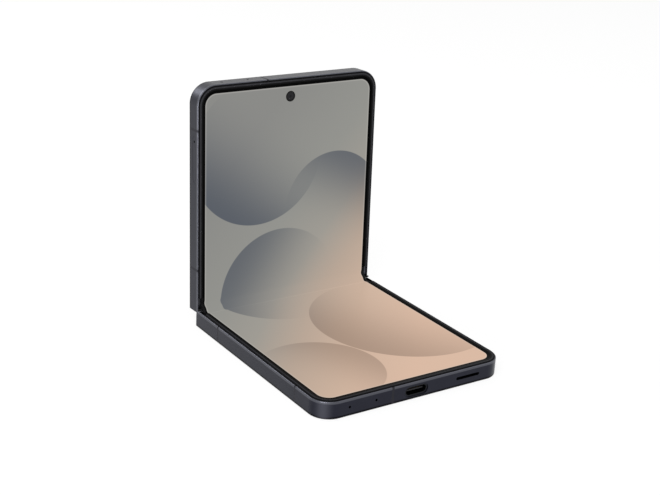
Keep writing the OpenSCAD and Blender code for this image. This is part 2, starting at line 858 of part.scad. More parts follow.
module sync_arm_upper() {
    color("#b9a06a") spine_place() turn(gear_y, gear_z, rest_fold) sync_arm(180 / gear_teeth);
}

module sync_arm_lower() {
    color("#b9a06a") spine_place() mirror([0, 1, 0]) turn(gear_y, gear_z, rest_fold) sync_arm(0);
}

module idler(y, phase, angle) {
    spine_place() both_sides() turn(y, gear_z, angle) along_x(arm_xs[0], arm_xs[1]) translate([y, gear_z]) gear(phase);
}

module idler_gear_lower() {
    color("#b9a06a") idler(-idler_y, 180 / gear_teeth, rest_fold);
}

module idler_gear_upper() {
    color("#b9a06a") idler(idler_y, 0, -rest_fold);
}

// ---------------------------------------------------------------- bending pieces

// A point of a bending strip follows the spine at share 0 and its half at share 1. Its share is
// a smooth step of how far it lies along the line from the fold's crest to the strip's far end.
function turned(y, z, angle) = [
    axis_y + (y - axis_y) * cos(angle) - (z - axis_z) * sin(angle),
    axis_z + (y - axis_y) * sin(angle) + (z - axis_z) * cos(angle)];
bend_from = [0, display_top];
bend_to = turned(bend_len, display_top, rest_fold);
function smooth(t) = let (c = min(1, max(0, t))) c * c * (3 - 2 * c);
function share_at(p) = let (d = bend_to - bend_from) smooth(((p - bend_from) * d) / (d * d));
function share(y, z, low = 0, high = 1, n = 30) = let (mid = (low + high) / 2)
    n == 0 ? mid
    : share_at(turned(y, z, mid * rest_fold)) > mid ? share(y, z, mid, high, n - 1)
    : share(y, z, low, mid, n - 1);
function bent(y, z) =
    y <= 0 ? [y, z]
    : share_at(turned(y, z, rest_fold)) >= 1 && y >= bend_len ? turned(y, z, rest_fold)
    : turned(y, z, share(y, z) * rest_fold);

// Section of a strip that is this high when flat, bent as stored
module bent_strip(low, high) {
    steps = 12;
    polygon(concat([for (i = [0:steps]) bent(bend_len * i / steps, high)],
                   [for (i = [steps:-1:0]) bent(bend_len * i / steps, low)]));
}

panel_x = half_w - display_inset;

module display_fold_upper() {
    color(display_grey) spine_place() along_x(-panel_x, panel_x) bent_strip(display_low, display_top);
}

module display_fold_lower() {
    color(peach) spine_place() mirror([0, 1, 0]) along_x(-panel_x, panel_x) bent_strip(display_low, display_top);
}

module seal_strip() {
    far = bezel_start - 0.03;
    steps = 12;
    low = display_low + 0.35;
    high = display_top - 0.05;
    both_sides() along_x(panel_x + 0.03, half_w - rail_w - 0.05) polygon(concat(
        [for (i = [0:steps]) bent(bend_len * i / steps, high)], [bent(far, high), bent(far, low)],
        [for (i = [steps:-1:0]) bent(bend_len * i / steps, low)]));
}

// Rubber strips that close the gap beside the bending display
module fold_seal_upper() {
    color("#101012") spine_place() seal_strip();
}

module fold_seal_lower() {
    color("#101012") spine_place() mirror([0, 1, 0]) seal_strip();
}

// Flexible circuit that crosses the spine inside the housing
module hinge_flex() {
    floor_z = axis_z - bore_r;
    color(copper) spine_place() along_x(-10, 4) polygon(concat(
        arc(axis_y, axis_z, bore_r - 0.05, -60, -90, 3), arc(-axis_y, axis_z, bore_r - 0.05, -90, -120, 3),
        arc(-axis_y, axis_z, bore_r - 0.2, -120, -90, 3), arc(axis_y, axis_z, bore_r - 0.2, -90, -60, 3)));
}

// ---------------------------------------------------------------- nodes

lower_frame();
lower_antenna_breaks();
lower_rear_glass();
lower_bezel();
display_lower();
lower_battery();
sub_board();
usb_c_shell();
usb_c_tongue();
loudspeaker();
loudspeaker_mesh();
lower_microphones();
vibration_motor();
charging_coil();
sub_board_cover();
lower_screws();
lower_magnets();
lower_wing_plate();
upper_frame();
upper_antenna_breaks();
cover_glass();
cover_display();
camera_rings();
camera_lens_glass();
rear_camera_modules();
flash_led();
upper_bezel();
display_upper();
front_camera();
earpiece();
earpiece_mesh();
main_board();
shield_cans();
upper_battery();
upper_microphones();
upper_screws();
upper_magnets();
upper_wing_plate();
key_switches();
sim_reader();
main_board_cover();
volume_key();
side_key();
sim_tray();
hinge_housing();
hinge_brackets();
gear_shafts();
centre_plate();
spine_end_caps();
disc_springs();
hinge_screws();
sync_arm_lower();
sync_arm_upper();
idler_gear_lower();
idler_gear_upper();
display_fold_lower();
display_fold_upper();
fold_seal_lower();
fold_seal_upper();
hinge_flex();
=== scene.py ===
"""Looks of a clamshell folding smartphone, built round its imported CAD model."""

import json
import math

import bmesh
import bpy
from mathutils import Matrix, Vector


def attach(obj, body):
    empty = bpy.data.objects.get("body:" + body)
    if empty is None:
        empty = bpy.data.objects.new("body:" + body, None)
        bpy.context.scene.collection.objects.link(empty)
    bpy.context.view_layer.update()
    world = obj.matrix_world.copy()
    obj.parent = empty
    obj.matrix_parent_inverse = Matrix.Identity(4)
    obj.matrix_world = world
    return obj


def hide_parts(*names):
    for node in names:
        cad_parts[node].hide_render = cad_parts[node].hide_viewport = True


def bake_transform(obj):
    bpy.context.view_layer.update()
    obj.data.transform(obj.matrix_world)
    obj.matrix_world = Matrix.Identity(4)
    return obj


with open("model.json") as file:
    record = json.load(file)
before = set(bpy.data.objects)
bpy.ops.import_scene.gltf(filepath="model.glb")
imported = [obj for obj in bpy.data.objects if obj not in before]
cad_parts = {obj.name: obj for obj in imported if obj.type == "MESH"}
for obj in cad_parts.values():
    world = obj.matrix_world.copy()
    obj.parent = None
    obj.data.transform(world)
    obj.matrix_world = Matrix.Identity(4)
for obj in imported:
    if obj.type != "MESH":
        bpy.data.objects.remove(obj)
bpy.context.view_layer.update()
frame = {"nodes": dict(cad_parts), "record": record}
nodes = frame["nodes"]

# Sizes of the CAD model, in millimetres
MM = 0.001
HALF_W, HALF_LEN, HALF_T = 37.6, 83.35, 6.5
CORNER_R = 7.2
FOLD_Y = HALF_LEN / 2
AXIS_Y, AXIS_Z = 2.1, 4.75
REST = 44.0
BEND_LEN = 4.6
DISPLAY_TOP, DISPLAY_LOW = 6.4, 5.4
DISPLAY_INSET = 2.6
PANEL_X = HALF_W - DISPLAY_INSET
BEZEL_START, BEZEL_INNER = 5.6, 1.65
GLASS_START, GLASS_INSET, GLASS_TOP = 1.4, 0.85, 0.5
PUNCH_S, PUNCH_R = HALF_LEN - 6.85, 1.95
CAMERA_XS, CAMERA_S, RING_R, RING_OUT = (25.0, 9.0), HALF_LEN - 12.6, 6.3, 1.0
FLASH_X, FLASH_R = -1.6, 1.7
HOLE_Z, PORT_Z = HALF_T / 2 + 0.15, HALF_T / 2 - 0.05
SPEAKER_X = 21.65
FIT = 0.03  # how far a bending strip runs into the part it continues, or stays off its neighbour


# ------------------------------------------------------------------ places


def turn(y, z, about_y, about_z, degrees):
    """(y, z) turned about an axis along x."""
    a = math.radians(degrees)
    c, s = math.cos(a), math.sin(a)
    dy, dz = y - about_y, z - about_z
    return about_y + dy * c - dz * s, about_z + dy * s + dz * c


def lower(x, s, z):
    """A point of the lower half, from its flat frame in mm to the row frame in m."""
    return Vector((x, FOLD_Y - s, z)) * MM


def spine(x, y, z):
    """A point of the spine, from its frame while the phone is flat."""
    y, z = turn(y, z, -AXIS_Y, AXIS_Z, REST)
    return Vector((x, FOLD_Y + y, z)) * MM


def upper(x, s, z):
    """A point of the upper half, from its flat frame."""
    return spine(x, *turn(s, z, AXIS_Y, AXIS_Z, REST))


def spine_mirrored(x, y, z):
    """The same for the strips on the lower side, where y runs towards the lower half."""
    return spine(x, -y, z)


BODY = {"lower": "lower_half", "upper": "upper_half", "spine": "hinge_spine"}
PLACE = {"lower": lower, "upper": upper, "spine": spine}


def srgb(r, g, b):
    """A colour written as 0 to 255 on the screen, as linear light."""

    def linear(v):
        v /= 255
        return v / 12.92 if v <= 0.04045 else ((v + 0.055) / 1.055) ** 2.4

    return (linear(r), linear(g), linear(b), 1.0)


# ------------------------------------------------------------------ materials


class Shader:
    """One procedural material; its helpers add nodes and return their outputs."""

    def __init__(self, name, colour, rough, metal=0.0, specular=0.5):
        self.mat = bpy.data.materials.new(name)
        self.mat.use_nodes = True
        self.tree = self.mat.node_tree
        self.bsdf = self.tree.nodes["Principled BSDF"]
        self.set("Base Color", colour)
        self.set("Roughness", rough)
        self.set("Metallic", metal)
        self.set("Specular IOR Level", specular)

    def feed(self, socket, value):
        """Links an output to a socket, or writes a plain value there."""
        if isinstance(value, bpy.types.NodeSocket):
            self.tree.links.new(value, socket)
        else:
            socket.default_value = value

    def set(self, key, value):
        self.feed(self.bsdf.inputs[key], value)

    def node(self, kind, inputs=None, **settings):
        n = self.tree.nodes.new("ShaderNode" + kind)
        for key, value in settings.items():
            setattr(n, key, value)
        for key, value in (inputs or {}).items():
            self.feed(n.inputs[key], value)
        return n

    def math(self, operation, *values, clamp=False):
        n = self.node("Math", operation=operation, use_clamp=clamp)
        for socket, value in zip(n.inputs, values):
            self.feed(socket, value)
        return n.outputs[0]

    def smooth(self, value, low, high):
        """From 0 at low to 1 at high, smooth between; low may be the larger."""
        n = self.node("MapRange", {"Value": value, "From Min": low, "From Max": high})
        n.interpolation_type = "SMOOTHSTEP"
        return n.outputs[0]

    def mix(self, share, a, b):
        """Colour a at share 0 and b at share 1."""
        n = self.node("Mix", data_type="RGBA")
        for index, value in ((0, share), (6, a), (7, b)):
            self.feed(n.inputs[index], value)
        return n.outputs[2]

    def noise(self, where, scale, detail=2.0, rough=0.5, stretch=None):
        if stretch:
            where = self.node("Mapping", {"Vector": where, "Scale": stretch}).outputs[0]
        inputs = {"Vector": where, "Scale": scale, "Detail": detail, "Roughness": rough}
        return self.node("TexNoise", inputs).outputs["Fac"]

    def spread(self, value, low, high):
        """Maps a noise value of about 0.3 to 0.7 to the range from low to high."""
        inputs = {"Value": value, "From Min": 0.3, "From Max": 0.7, "To Min": low, "To Max": high}
        return self.node("MapRange", inputs).outputs[0]

    def bump(self, height, distance):
        """Relief of the surface; distance is its height in metres."""
        inputs = {"Height": height, "Distance": distance, "Strength": 1.0}
        self.set("Normal", self.node("Bump", inputs).outputs[0])

    def where(self):
        """Place on the piece at rest, in metres."""
        return self.node("TexCoord").outputs["Object"]

    def where_mm(self):
        """Place on the piece at rest, in mm."""
        return self.node("Mapping", {"Vector": self.where(), "Scale": (1000,) * 3}).outputs[0]

    def local(self, half):
        """Place in the flat frame of a half or of the spine, in mm: the vector, x, s and z."""
        tilt = {"lower": 0, "spine": REST, "upper": 2 * REST}[half]
        if half == "lower":
            scale, shift = (1000, -1000, 1000), (0, FOLD_Y, 0)
        else:
            y, z = turn(-FOLD_Y, 0, -AXIS_Y, AXIS_Z, -REST)
            if half == "upper":
                y, z = turn(y, z, AXIS_Y, AXIS_Z, -REST)
            scale, shift = (1000, 1000, 1000), (0, y, z)
        inputs = {"Vector": self.where(), "Location": shift, "Scale": scale,
                  "Rotation": (math.radians(-tilt), 0, 0)}
        vector = self.node("Mapping", inputs).outputs[0]
        split = self.node("SeparateXYZ", {0: vector}).outputs
        return vector, split[0], split[1], split[2]

    def length(self, a, b):
        squares = [self.math("MULTIPLY", v, v) for v in (a, b)]
        return self.math("SQRT", self.math("ADD", *squares))

    def depth(self, x, s, half_x, half_s, radius):
        """Distance in from the outline of a rectangle with round corners, negative outside it."""
        qx = self.math("SUBTRACT", self.math("ABSOLUTE", x), half_x - radius)
        qs = self.math("SUBTRACT", self.math("ABSOLUTE", s), half_s - radius)
        corner = self.length(self.math("MAXIMUM", qx, 0.0), self.math("MAXIMUM", qs, 0.0))
        flat = self.math("MINIMUM", self.math("MAXIMUM", qx, qs), 0.0)
        return self.math("SUBTRACT", radius, self.math("ADD", corner, flat))

    def corner_arc(self, x, s):
        """1 half way round the outer corners of a half, falling to 0 where they run out: where the
        painted corner highlight lies.
        """
        across = self.math("SUBTRACT", self.math("ABSOLUTE", x), HALF_W - CORNER_R)
        along = self.math("SUBTRACT", s, HALF_LEN - CORNER_R)
        least = self.math("MINIMUM", across, along)
        return self.smooth(least, CORNER_R * 0.25, CORNER_R * 0.68)

    def bands(self, value, stops, blend):
        """Colour by value: stops lists (value, colour) and each change is blend wide."""
        colour = stops[0][1]
        for at, following in stops[1:]:
            colour = self.mix(self.smooth(value, at - blend / 2, at + blend / 2), colour, following)
        return colour


# The frames' metal: its colours, its roughness, and the heights in mm where its tone changes. The
# dark colour also paints shade where a rail rolls over to the rear; the light one is a painted
# highlight on the front edge and round the outer corners.
FRAME = srgb(44, 45, 54)
FRAME_DARK = srgb(14, 14, 18)
# colour of the painted highlight on the frames' front edge and outer corners
FRAME_HIGHLIGHT = srgb(86, 87, 94)
FRAME_ROUGH = 0.36
# heights in mm over which the painted rear shade comes in
REAR_SHADE_FROM, REAR_SHADE_TO = 1.35, 0.8
# heights in mm over which the painted edge highlight comes in
HIGHLIGHT_FROM, HIGHLIGHT_TO = HALF_T - 1.05, HALF_T - 0.75


def anodised(name, half):
    """Bead-blasted, anodised aluminium: painted shade darkens a rail where it rolls over to the
    rear, and a painted highlight lightens its front edge and round the outer corners."""
    m = Shader(name, FRAME, FRAME_ROUGH, metal=1.0)
    vector, x, s, z = m.local(half)
    grain = m.noise(vector, 9.0, 3.0, 0.6)
    blast = m.noise(vector, 28.0, 1.0, 0.5)
    cloud = m.noise(vector, 0.12, 2.0, 0.5)
    # roll is painted shade: the rail darkens where it rolls over to the rear, and is a little
    # rougher there
    roll = 0.0 if half == "spine" else m.smooth(z, REAR_SHADE_FROM, REAR_SHADE_TO)
    # painted highlight along the rail's front edge
    edge_highlight = m.smooth(z, HIGHLIGHT_FROM, HIGHLIGHT_TO)
    base = m.mix(m.spread(cloud, 0.0, 0.12), FRAME, FRAME_DARK)
    base = m.mix(m.math("MULTIPLY", roll, 0.95), base, FRAME_DARK)
    base = m.mix(m.math("MULTIPLY", edge_highlight, 0.85), base, FRAME_HIGHLIGHT)
    # painted highlight half way round the outer corners
    base = m.mix(m.math("MULTIPLY", m.corner_arc(x, s), 0.4), base, FRAME_HIGHLIGHT)
    m.set("Base Color", base)
    rough = m.spread(grain, FRAME_ROUGH - 0.05, FRAME_ROUGH + 0.05)
    m.set("Roughness", m.math("ADD", rough, m.math("MULTIPLY", roll, 0.08)))
    m.bump(m.math("ADD", grain, m.math("MULTIPLY", blast, 0.6)), 0.0000015)
    return m.mat


def moulded(name, colour, other, rough, specular, grain=14.0, depth=0.000006):
    """Moulded polymer: fine spark-eroded grain and a slight change of tone."""
    m = Shader(name, colour, rough, specular=specular)
    where = m.where_mm()
    fine = m.noise(where, grain, 3.0, 0.6)
    m.set("Base Color", m.mix(m.spread(m.noise(where, 0.3, 2.0), 0.0, 0.5), colour, other))
    m.set("Roughness", m.spread(fine, rough - 0.06, rough + 0.06))
    m.bump(fine, depth)
    return m.mat


def steel(name, colour=srgb(176, 178, 182), dark=srgb(120, 122, 128), rough=0.3, along="x"):
    """Rolled or ground steel with fine lines along x or y."""
    m = Shader(name, colour, rough, metal=1.0)
    stretch = {"x": (40, 1500, 1500), "y": (1500, 40, 1500)}[along]
    lines = m.noise(m.where(), 8.0, 4.0, 0.7, stretch)
    blot = m.noise(m.where(), 260.0, 3.0, 0.6)
    m.set("Base Color", m.mix(m.spread(blot, 0.0, 0.55), colour, dark))
    m.set("Roughness", m.spread(lines, rough - 0.08, rough + 0.1))
    m.bump(lines, 0.000004)
    return m.mat


def glassy(name, half, colour, other, rough, frost=False):
    """Coated cover glass; frosted glass has a fine etched grain."""
    m = Shader(name, colour, rough, specular=0.4)
    vector = m.local(half)[0]
    cloud = m.noise(vector, 0.03, 2.0, 0.5)
    etch = m.noise(vector, 22.0 if frost else 5.0, 3.0, 0.6)
    m.set("Base Color", m.mix(m.spread(cloud, 0.0, 0.4), colour, other))
    spread = 0.05 if frost else 0.015
    m.set("Roughness", m.spread(etch, max(0.0, rough - spread), rough + spread))
    m.bump(etch, 0.0000015 if frost else 0.0000002)
    return m.mat


# The lit area: its half sizes and corner radius in mm
SCREEN_X, SCREEN_S, SCREEN_R = HALF_W - 3.06, HALF_LEN - 3.15, 4.3
UV_UNIT = 100.0
GREY_TO_PEACH = ((0.0, (141, 141, 138)), (0.3, (150, 150, 145)), (0.47, (162, 158, 150)),
                 (0.62, (188, 169, 153)), (0.8, (210, 182, 161)), (1.0, (221, 188, 165)))
DISCS = (  # centre x and s in mm from the fold, radius, shading direction in degrees, strength
    (-13.0, 57.0, 27.0, 235.0, 0.92),
    (20.0, 33.0, 21.0, 60.0, 0.8),
    (-3.0, 2.0, 25.0, 150.0, 0.8),
    (27.0, -38.0, 34.0, 205.0, 0.62),
    (-24.0, -62.0, 22.0, 20.0, 0.55),
)


def wallpaper():
    """Lit inner display: grey running to peach, with soft overlapping discs, and a black border."""
    m = Shader("screen_lit", srgb(4, 4, 5), 0.4, specular=0.02)
    uv = m.node("UVMap", uv_map="flat").outputs[0]
    x, s, _ = m.node("SeparateXYZ", {0: uv}).outputs
    x, s = m.math("MULTIPLY", x, UV_UNIT), m.math("MULTIPLY", s, UV_UNIT)
    slope = m.math("ADD", m.math("MULTIPLY", s, -0.0062), m.math("MULTIPLY", x, 0.0072))
    t = m.math("ADD", slope, 0.5, clamp=True)
    ramp = m.node("ValToRGB", {0: t})
    elements = ramp.color_ramp.elements
    while len(elements) < len(GREY_TO_PEACH):
        elements.new(0.5)
    for element, (at, colour) in zip(elements, GREY_TO_PEACH):
        element.position, element.color = at, srgb(*colour)
    picture = ramp.outputs[0]
    warm = m.smooth(t, 0.4, 0.75)
    slate = m.mix(warm, srgb(84, 90, 100), srgb(146, 122, 106))
    for cx, cs, radius, degrees, strength in DISCS:
        dx, ds = m.math("SUBTRACT", x, cx), m.math("SUBTRACT", s, cs)
        away = m.length(dx, ds)
        inside = m.smooth(away, radius + 0.15, radius - 0.15)
        a = math.radians(degrees)
        along = m.math("ADD", m.math("MULTIPLY", dx, math.cos(a) / radius),
                       m.math("MULTIPLY", ds, math.sin(a) / radius))
        shade = m.math("POWER", m.smooth(along, -0.75, 1.05), 1.6)
        share = m.math("MULTIPLY", m.math("MULTIPLY", inside, shade), strength)
        picture = m.mix(share, picture, slate)
    grain = m.noise(uv, 900.0, 2.0, 0.5)
    picture = m.mix(m.spread(grain, 0.0, 0.025), picture, srgb(120, 118, 114))
    edge = m.depth(x, s, SCREEN_X, SCREEN_S, SCREEN_R)
    inside = m.smooth(edge, -0.06, 0.06)
    rim = m.math("MULTIPLY", m.smooth(edge, 0.55, 0.25), 0.22)
    picture = m.mix(rim, picture, srgb(226, 222, 216))
    m.set("Emission Color", m.mix(inside, (0.0, 0.0, 0.0, 1.0), picture))
    m.set("Emission Strength", 0.96)
    m.set("Roughness", m.spread(m.noise(uv, 40.0, 3.0, 0.6), 0.36, 0.44))
    return m.mat


# ------------------------------------------------------------------ mesh helpers


def make(name, verts, faces, material, sharp=35.0, flat=None):
    """A mesh object of points in the row frame; flat gives each point's (x, s) in mm for its UV."""
    mesh = bpy.data.meshes.new(name)
    mesh.from_pydata([tuple(v) for v in verts], [], faces)
    mesh.validate()
    bm = bmesh.new()
    bm.from_mesh(mesh)
    bmesh.ops.recalc_face_normals(bm, faces=bm.faces)
    bm.to_mesh(mesh)
    bm.free()
    if flat:
        layer = mesh.uv_layers.new(name="flat")
        for loop in mesh.loops:
            x, s = flat[loop.vertex_index]
            layer.data[loop.index].uv = (x / UV_UNIT, s / UV_UNIT)
    mesh.shade_smooth()
    mesh.set_sharp_from_angle(angle=math.radians(sharp))
    mesh.materials.append(material)
    obj = bpy.data.objects.new(name, mesh)
    bpy.context.scene.collection.objects.link(obj)
    return obj


def outline(inset, start, steps=20):
    """(x, s) round a half, drawn in from its edge, from the left fold end to the right one."""
    w, end, r = HALF_W - inset, HALF_LEN - inset, CORNER_R - inset
    points = [(-w, start)]
    for side, first in ((-1, 180.0), (1, 90.0)):
        for i in range(steps + 1):
            a = math.radians(first - 90.0 * i / steps)
            points.append((side * (w - r) + r * math.cos(a), end - r + r * math.sin(a)))
    points.append((w, start))
    return points


def circle(cx, cs, r, steps=48):
    angles = [math.tau * i / steps for i in range(steps)]
    return [(cx + r * math.cos(a), cs + r * math.sin(a)) for a in angles]


def loft(rings):
    """Quads between neighbouring closed rings of equal length, as indices into all points."""
    n = len(rings[0])
    faces = []
    for k in range(len(rings) - 1):
        for i in range(n):
            j = (i + 1) % n
            faces.append((k * n + i, k * n + j, (k + 1) * n + j, (k + 1) * n + i))
    return faces


def plate(name, half, profile, start, material, holes=(), sign=1):
    """A solid plate with the outline of a half, from start to its end. profile lists (inset, z)
    from its low to its high face; holes are (x, s, radius, edge rounding); sign turns s about
    for the UV."""
    place = PLACE[half]
    rings, flat, verts = [], [], []
    for inset, z in profile:
        ring = outline(inset, start + inset - profile[len(profile) // 2][0])
        rings.append(ring)
        verts += [place(x, s, z) for x, s in ring]
        flat += [(x, s * sign) for x, s in ring]
    faces = loft(rings)
    n = len(rings[0])
    loops_low, loops_high = [list(range(n))], [list(range(len(verts) - n, len(verts)))]
    z_low, z_high = profile[0][1], profile[-1][1]
    for cx, cs, r, soft in holes:
        base = len(verts)
        rounding = [(r + soft, z_low), (r, z_low + soft)] if soft else [(r, z_low)]
        levels = rounding + [(r, z_high)]
        hole = [circle(cx, cs, level) for level, _ in levels]
        for ring, (_, z) in zip(hole, levels):
            verts += [place(x, s, z) for x, s in ring]
            flat += [(x, s * sign) for x, s in ring]
        faces += [tuple(base + i for i in f) for f in loft(hole)]
        n = len(hole[0])
        loops_low.append(list(range(base, base + n)))
        loops_high.append(list(range(len(verts) - n, len(verts))))
    for loops in (loops_low, loops_high):
        if len(loops) == 1:
            faces.append(tuple(loops[0]))
        else:
            faces += fill(verts, loops)
    return make(name, verts, faces, material, flat=flat)


def fill(verts, loops):
    """Triangles between an outline and the holes in it."""
    bm = bmesh.new()
    made = {}
    for loop in loops:
        for i in loop:
            made[i] = bm.verts.new(verts[i])
    edges = []
    for loop in loops:
        for a, b in zip(loop, loop[1:] + loop[:1]):
            edges.append(bm.edges.new((made[a], made[b])))
    index = {v: i for i, v in made.items()}
    bmesh.ops.triangle_fill(bm, edges=edges, use_beauty=True)
    faces = [tuple(index[v] for v in f.verts) for f in bm.faces]
    bm.free()
    return faces


def turned(y, z, degrees):
    """(y, z) of the spine's frame turned about the upper fold axis."""
    return turn(y, z, AXIS_Y, AXIS_Z, degrees)


BEND_FROM = (0.0, DISPLAY_TOP)
BEND_TO = turned(BEND_LEN, DISPLAY_TOP, REST)


def share_at(y, z):
    """How far a point of a bending strip turns with its half: a smooth step along the bend."""
    dy, dz = BEND_TO[0] - BEND_FROM[0], BEND_TO[1] - BEND_FROM[1]
    t = ((y - BEND_FROM[0]) * dy + (z - BEND_FROM[1]) * dz) / (dy * dy + dz * dz)
    t = min(1.0, max(0.0, t))
    return t * t * (3 - 2 * t)


def bent(y, z):
    """A point of the flat strip, moved to where the stored pose has it, in the spine's frame."""
    if y <= 0:
        return y, z
    if y >= BEND_LEN and share_at(*turned(y, z, REST)) >= 1:
        return turned(y, z, REST)
    low, high = 0.0, 1.0
    for _ in range(40):
        mid = (low + high) / 2
        if share_at(*turned(y, z, mid * REST)) > mid:
            low = mid
        else:
            high = mid
    return turned(y, z, mid * REST)


def strip(name, half, x0, x1, section, material, columns=2):
    """A bending strip of the fold, in its stored bend: section is its closed outline, as (y, z)
    in the flat frame, and columns is how many times it is drawn from x0 to x1."""
    place = spine if half == "upper" else spine_mirrored
    sign = 1 if half == "upper" else -1
    rings, flat, verts = [], [], []
    for k in range(columns):
        x = x0 + (x1 - x0) * k / (columns - 1)
        rings.append(section)
        for y, z in section:
            verts.append(place(x, *bent(y, z)))
            flat.append((x, y * sign))
    faces = loft(rings)
    n = len(section)
    for base in (0, len(verts) - n):
        faces += [(base + i, base + i + 1, base + n - 2 - i, base + n - 1 - i)
                  for i in range(n // 2 - 1)]
    obj = make(name, verts, faces, material, sharp=50.0, flat=flat)
    bend(obj, half)
    return obj


def bend(obj, half):
    """Bakes a strip's placement into its mesh; the places of the bend's two ends are worked out and
    not kept.
    """
    place = spine if half == "upper" else spine_mirrored
    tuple(place(0, *BEND_FROM))
    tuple(place(0, *BEND_TO))
    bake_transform(obj)


def span(low, high, start, end, steps):
    """Closed section of a strip between two heights, from start to end along the flat frame."""
    ys = [start + (end - start) * i / steps for i in range(steps + 1)]
    return [(y, high) for y in ys] + [(y, low) for y in reversed(ys)]


def ride(obj, half, slot, *stands_for):
    """Puts a piece on a half and hides the CAD nodes that it stands for; slot, its finish, is not
    used.
    """
    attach(obj, BODY[half])
    if stands_for:
        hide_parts(*stands_for)


# ------------------------------------------------------------------ display

lit = wallpaper()
for half, sign in (("lower", -1), ("upper", 1)):
    holes = [(0.0, PUNCH_S, PUNCH_R + 0.04, 0.0)] if half == "upper" else []
    profile = [(DISPLAY_INSET, DISPLAY_LOW), (DISPLAY_INSET, DISPLAY_TOP - 0.03),
               (DISPLAY_INSET + 0.03, DISPLAY_TOP)]
    screen = plate("screen_" + half, half, profile, BEND_LEN, lit, holes, sign)
    ride(screen, half, "display_stack", "display_" + half)
    section = span(DISPLAY_LOW, DISPLAY_TOP, 0.0, BEND_LEN + FIT, 28)
    fold = strip("screen_fold_" + half, half, -PANEL_X, PANEL_X, section, lit)
    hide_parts("display_fold_" + half)

rubber = moulded("seal_rubber_black", srgb(7, 7, 8), srgb(12, 12, 13), 0.62, 0.1, 20.0)
for half in ("lower", "upper"):
    section = span(DISPLAY_LOW + 0.35, DISPLAY_TOP - 0.05, 0.0, BEZEL_START - FIT, 34)
    for side in (-1, 1):
        x0, x1 = sorted((side * (PANEL_X + FIT), side * (HALF_W - BEZEL_INNER)))
        tag = "left" if side < 0 else "right"
        seal = strip(f"fold_seal_{half}_{tag}", half, x0, x1, section, rubber, 4)
        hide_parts("fold_seal_" + half)

# Rubber post in the wedge between the rounded rail ends: (y, height over the fold axes) in mm,
# and where it starts and ends, in from the side of the rail
POST = ((0.02, 0.3), (0.06, 0.5), (0.155, 0.8), (0.25, 1.0), (0.3, 1.1), (0.3, 1.35), (0.2, 1.45))
POST_OUT, POST_IN = HALF_W - 0.1, HALF_W - 1.63
section = [(y, AXIS_Z + h) for y, h in POST] + [(-y, AXIS_Z + h) for y, h in reversed(POST)]
for tag, xs in (("left", (-POST_OUT, -POST_IN)), ("right", (POST_IN, POST_OUT))):
    verts = [spine(x, y, z) for x in xs for y, z in section]
    n = len(section)
    faces = loft([section, section]) + [tuple(range(n)), tuple(range(n, 2 * n))]
    post = make("fold_post_" + tag, verts, faces, rubber)
    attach(post, "hinge_spine")


# ------------------------------------------------------------------ materials of the CAD nodes

black = moulded("black_moulded", srgb(20, 20, 22), srgb(28, 28, 31), 0.5, 0.25)
# Painted light and shade across the bezel's profile: dark bands either side of a painted highlight
# on its raised top, and painted shade down the slope to the display
BEZEL = (  # distance in from the side in mm, colour
    (0.0, srgb(14, 14, 16)), (0.85, srgb(50, 50, 53)), (1.4, srgb(18, 18, 19)),
    (2.0, srgb(1, 1, 1)),
)


def bezel_satin(half):
    """Satin polymer, with a painted highlight on its raised top and painted shade on the slope that
    runs down to the display.
    """
    m = Shader("bezel_satin_" + half, srgb(50, 50, 53), 0.5, specular=0.02)
    vector, x, s, _ = m.local(half)
    fine = m.noise(vector, 9.0, 3.0, 0.6)
    # painted highlight and shade in bands across the profile
    base = m.bands(m.depth(x, s, HALF_W, HALF_LEN, CORNER_R), BEZEL, 0.3)
    m.set("Base Color", m.mix(m.spread(m.noise(vector, 0.2, 2.0), 0.0, 0.2), base, srgb(6, 6, 7)))
    m.set("Roughness", m.spread(fine, 0.42, 0.52))
    m.bump(fine, 0.000002)
    return m.mat


steel_x = steel("stainless_rolled")
steel_fine = steel("stainless_fine", srgb(150, 151, 155), srgb(104, 105, 110), 0.26, "y")
frame_metal = {half: anodised("anodised_" + half, half) for half in ("lower", "upper", "spine")}
break_plastic = moulded("break_polymer_dark", srgb(28, 28, 34), srgb(33, 33, 39), 0.5, 0.15)
rear = {
    "lower": glassy("rear_glass_frosted", "lower", srgb(58, 61, 74), srgb(50, 53, 66), 0.34, True),
    "upper": glassy("cover_glass_black", "upper", srgb(10, 10, 12), srgb(15, 15, 18), 0.09),
}


def board_green():
    """Solder mask with lighter tracks under it."""
    m = Shader("solder_mask_green", srgb(18, 66, 48), 0.35, specular=0.5)
    where = m.where_mm()
    cells = m.node("TexVoronoi", {"Vector": where, "Scale": 0.9}, feature="DISTANCE_TO_EDGE")
    tracks = m.smooth(cells.outputs[0], 0.06, 0.03)
    m.set("Base Color", m.mix(tracks, srgb(18, 66, 48), srgb(40, 104, 74)))
    m.bump(tracks, 0.00001)
    return m.mat


def copper_wound():
    """Copper in fine turns round the middle of the lower half."""
    m = Shader("copper_wound", srgb(190, 120, 70), 0.3, metal=1.0)
    where = m.where_mm()
    x, y, _ = m.node("SeparateXYZ", {0: where}).outputs
    turns = m.math("SINE", m.math("MULTIPLY", m.length(x, y), 12.0))
    share = m.math("MULTIPLY_ADD", turns, 0.3, 0.3)
    m.set("Base Color", m.mix(share, srgb(196, 124, 72), srgb(120, 66, 34)))
    m.bump(turns, 0.00003)
    return m.mat


def foil():
    """Creased foil of a battery pouch."""
    m = Shader("cell_foil", srgb(58, 60, 64), 0.45, metal=0.6)
    crease = m.noise(m.where(), 140.0, 4.0, 0.6)
    m.set("Base Color", m.mix(m.spread(crease, 0.0, 0.6), srgb(60, 62, 66), srgb(34, 35, 39)))
    m.bump(crease, 0.00006)
    return m.mat


